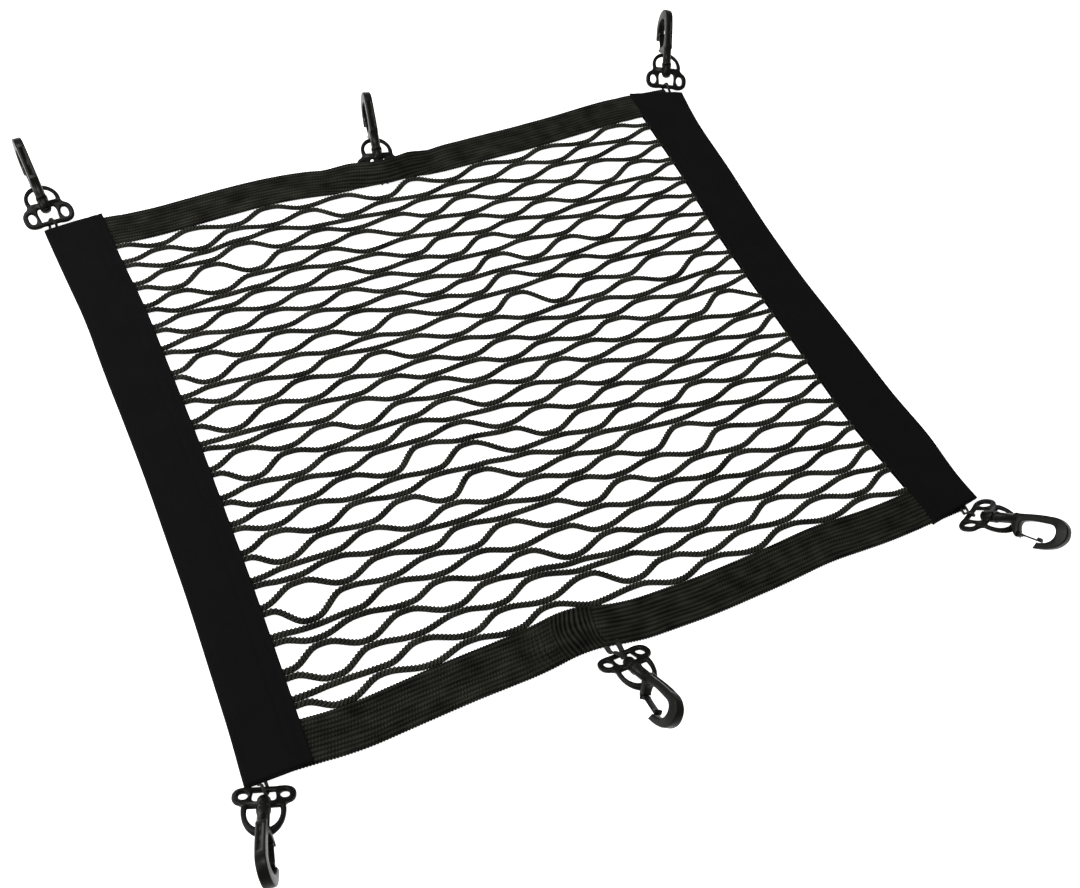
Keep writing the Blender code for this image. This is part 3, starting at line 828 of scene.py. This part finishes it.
def barrel(start, stop, radius, count):
    """Points on an arc round the gate's hinge."""
    turns = [math.radians(start + (stop - start) * at / (count - 1)) for at in range(count)]
    x, y = GATE_PIVOT
    return [(x + radius * math.cos(angle), y + radius * math.sin(angle)) for angle in turns]


notch = barrel(-10, -160, 2.15, 6)
corners = ((-24.5, 46), (-19, 49), (-11.1, 32), notch[0], notch[-1])
bm = outline_piece("hook", [list(HOOK) + notch], 4.0, 1.1, sharp=corners)
hook = finish_mesh(bm, "hook", hook_acetal)
PIN = (
    (0, -7.6), (2.5, -7.6), (4.3, -6.4), (4.3, -5.35), (3.5, -5.35), (3.5, 5.4), (4.9, 5.4), (5.3, 5.8),
    (5.3, 8.2), (5.1, 8.8), (4.6, 9.6), (4.6, 28), (0, 28),
)
slot = ((4.55, 30), (7, 30), (7, 59), (4.55, 59))
groove_bm = outline_piece("groove", [slot], 1.2, 0.5, sharp=slot)
groove = finish_mesh(groove_bm, "groove", hook_acetal)
cut_or_join(hook, [("UNION", turned_object("pin", PIN)), ("DIFFERENCE", groove)])
print("hook:", [round(value * 1000, 1) for value in hook.dimensions], "mm")

# %% [markdown]
# The gate: a springy tongue that closes the bend's mouth from inside. It tapers from its barrel
# to a small lip, which catches behind the hook's nose.

# %% Gate
TONGUE = ((-16.4, 49.2), (-14.7, 49.6), (-14.7, 51.2), (-16.6, 52), (-18.5, 51.6))
ring = barrel(128, 412, 1.8, 9) + list(TONGUE)
bm = outline_piece("gate", [ring], 3.4, 0.5, sharp=((-18.5, 51.6), (-16.4, 49.2)))
gate = finish_mesh(bm, "gate", gate_acetal)
print("gate:", [round(value * 1000, 1) for value in gate.dimensions], "mm")

# %% [markdown]
# ## Six of each
# The joints of the model give the place and direction of every hook: the swivel's axis is the
# hook's long axis, and the gate's hinge axis stands square to the bend.

# %% Place the plates, hooks and gates
joints = {joint["name"]: joint for joint in frame["joints"]}
sides = [name[7:] for name in joints if name.startswith("swivel_")]
places = {}
for side in sides:
    swivel, hinge = joints["swivel_" + side], joints["gate_hinge_" + side]
    origin, axis = Vector(swivel["pos_m"]), Vector(swivel["axis"]).normalized()
    across = Vector((axis.y, -axis.x, 0.0)).normalized()
    out = across.cross(axis)
    flat = Matrix((across, axis, out)).transposed().to_4x4()
    flat.translation = origin
    square = -Vector(hinge["axis"]).normalized()
    bend = axis.cross(square)
    bent = Matrix((bend, axis, square)).transposed().to_4x4()
    bent.translation = origin
    places[side] = (origin, across, axis, out)
    put(plate, "plate_" + side + "_moulded", flat, "cloth", "plastic", "plate_" + side)
    put(hook, "hook_" + side + "_moulded", bent, "hook_" + side, "plastic", "hook_" + side)
    put(gate, "gate_" + side + "_moulded", bent, "gate_" + side, "gate", "gate_" + side)
for pattern in (plate, hook, gate):
    bpy.data.objects.remove(pattern)
print("hooks at:", sides)

# %% [markdown]
# ## Elastic ties
# Each plate hangs on one loop of flat elastic that comes out of the cloth's hem, goes round the
# plate's straight bar and returns. A flat oval is drawn along the loop's path.

# %% Elastic ties
HEMS = {
    # hook: y of the hem, y inside it, z, half the distance of the legs, half the width
    "back_left": (282.7, 272.5, 2.3, 3.0, 1.3),
    "back_middle": (250.8, 247.5, 1.15, 3.0, 1.0),
    "back_right": (288.0, 279.0, 2.3, 3.0, 1.3),
    "front_right": (-294.3, -283.5, 2.3, 3.0, 1.3),
    "front_middle": (-294.4, -288.0, 1.5, 5.2, 2.4),
    "front_left": (-293.2, -283.0, 2.3, 3.0, 1.3),
}
WRAP = (
    # along the axis from the bar's middle, out of the plate
    (-3.1, -2.6), (2.3, -2.85), (3.5, -1.9), (3.5, 1.9), (2.3, 2.85), (-2.4, 2.95), (-3.4, 2.1),
)


def softened(points, rounds=2):
    """Cuts the corners of an open path, as a bent elastic does."""
    for _ in range(rounds):
        cut = [points[0]]
        for first, second in zip(points, points[1:]):
            cut += [first.lerp(second, 0.25), first.lerp(second, 0.75)]
        points = cut + [points[-1]]
    return points


def flat_cord(name, path, wide, half_wide, half_thick, material):
    """Draws an oval along a path, one extrusion for each step, with its long side along wide."""
    bm = bmesh.new()
    made = bmesh.ops.create_circle(bm, cap_ends=True, radius=1.0, segments=12)
    ring = made["verts"]
    shape = [(vert.co.x, vert.co.y) for vert in ring]
    cap = [face for face in bm.faces]
    last = len(path) - 1
    for at, point in enumerate(path):
        tangent = (path[min(at + 1, last)] - path[max(at - 1, 0)]).normalized()
        normal = tangent.cross(wide).normalized()
        level = normal.cross(tangent).normalized()
        if at:
            made = bmesh.ops.extrude_face_region(bm, geom=cap)
            if at > 1:
                bmesh.ops.delete(bm, geom=cap, context="FACES")
            cap = [item for item in made["geom"] if isinstance(item, bmesh.types.BMFace)]
            ring = list(cap[0].verts)
        for vert, (u, v) in zip(ring, shape):
            vert.co = point + level * (u * half_wide * MM) + normal * (v * half_thick * MM)
    return finish_mesh(bm, name, material)


ties = []
for side, (hem, inside, z, spread, half_wide) in HEMS.items():
    origin, across, axis, out = places[side]
    bar = origin - axis * 19.0 * MM
    middle = len(WRAP) - 1
    path = []
    for at, (v, n) in enumerate(WRAP):
        shift = spread * (2.0 * at / middle - 1.0)
        path.append(bar + (across * shift + axis * v + out * n) * MM)
    legs = []
    for shift in (-spread, spread):
        x = (bar + across * shift * MM).x
        legs.append([Vector((x, (y + SHIFT[1]) * MM, z * MM)) for y in (inside, hem)])
    path = softened(legs[0] + path + legs[1][::-1])
    ties.append(round(sum((b - a).length for a, b in zip(path, path[1:])) * 1000))
    made = flat_cord("tie_" + side, path, across, half_wide, 0.8, elastic)
    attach(made, "cloth")
    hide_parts("loop_" + side)
print("ties:", ties, "mm along their middle")

# %% [markdown]
# ## What belongs to what
# Every piece of cloth rides on the cloth body. The cords, the bands and the tapes stand in for the imported
# net and tapes, which are hidden.

# %% Attach the cloth
for made in net_cords + [far_band, near_band]:
    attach(made, "cloth")
    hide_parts("net")
for name, made in tapes.items():
    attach(made, "cloth")
    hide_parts(name)
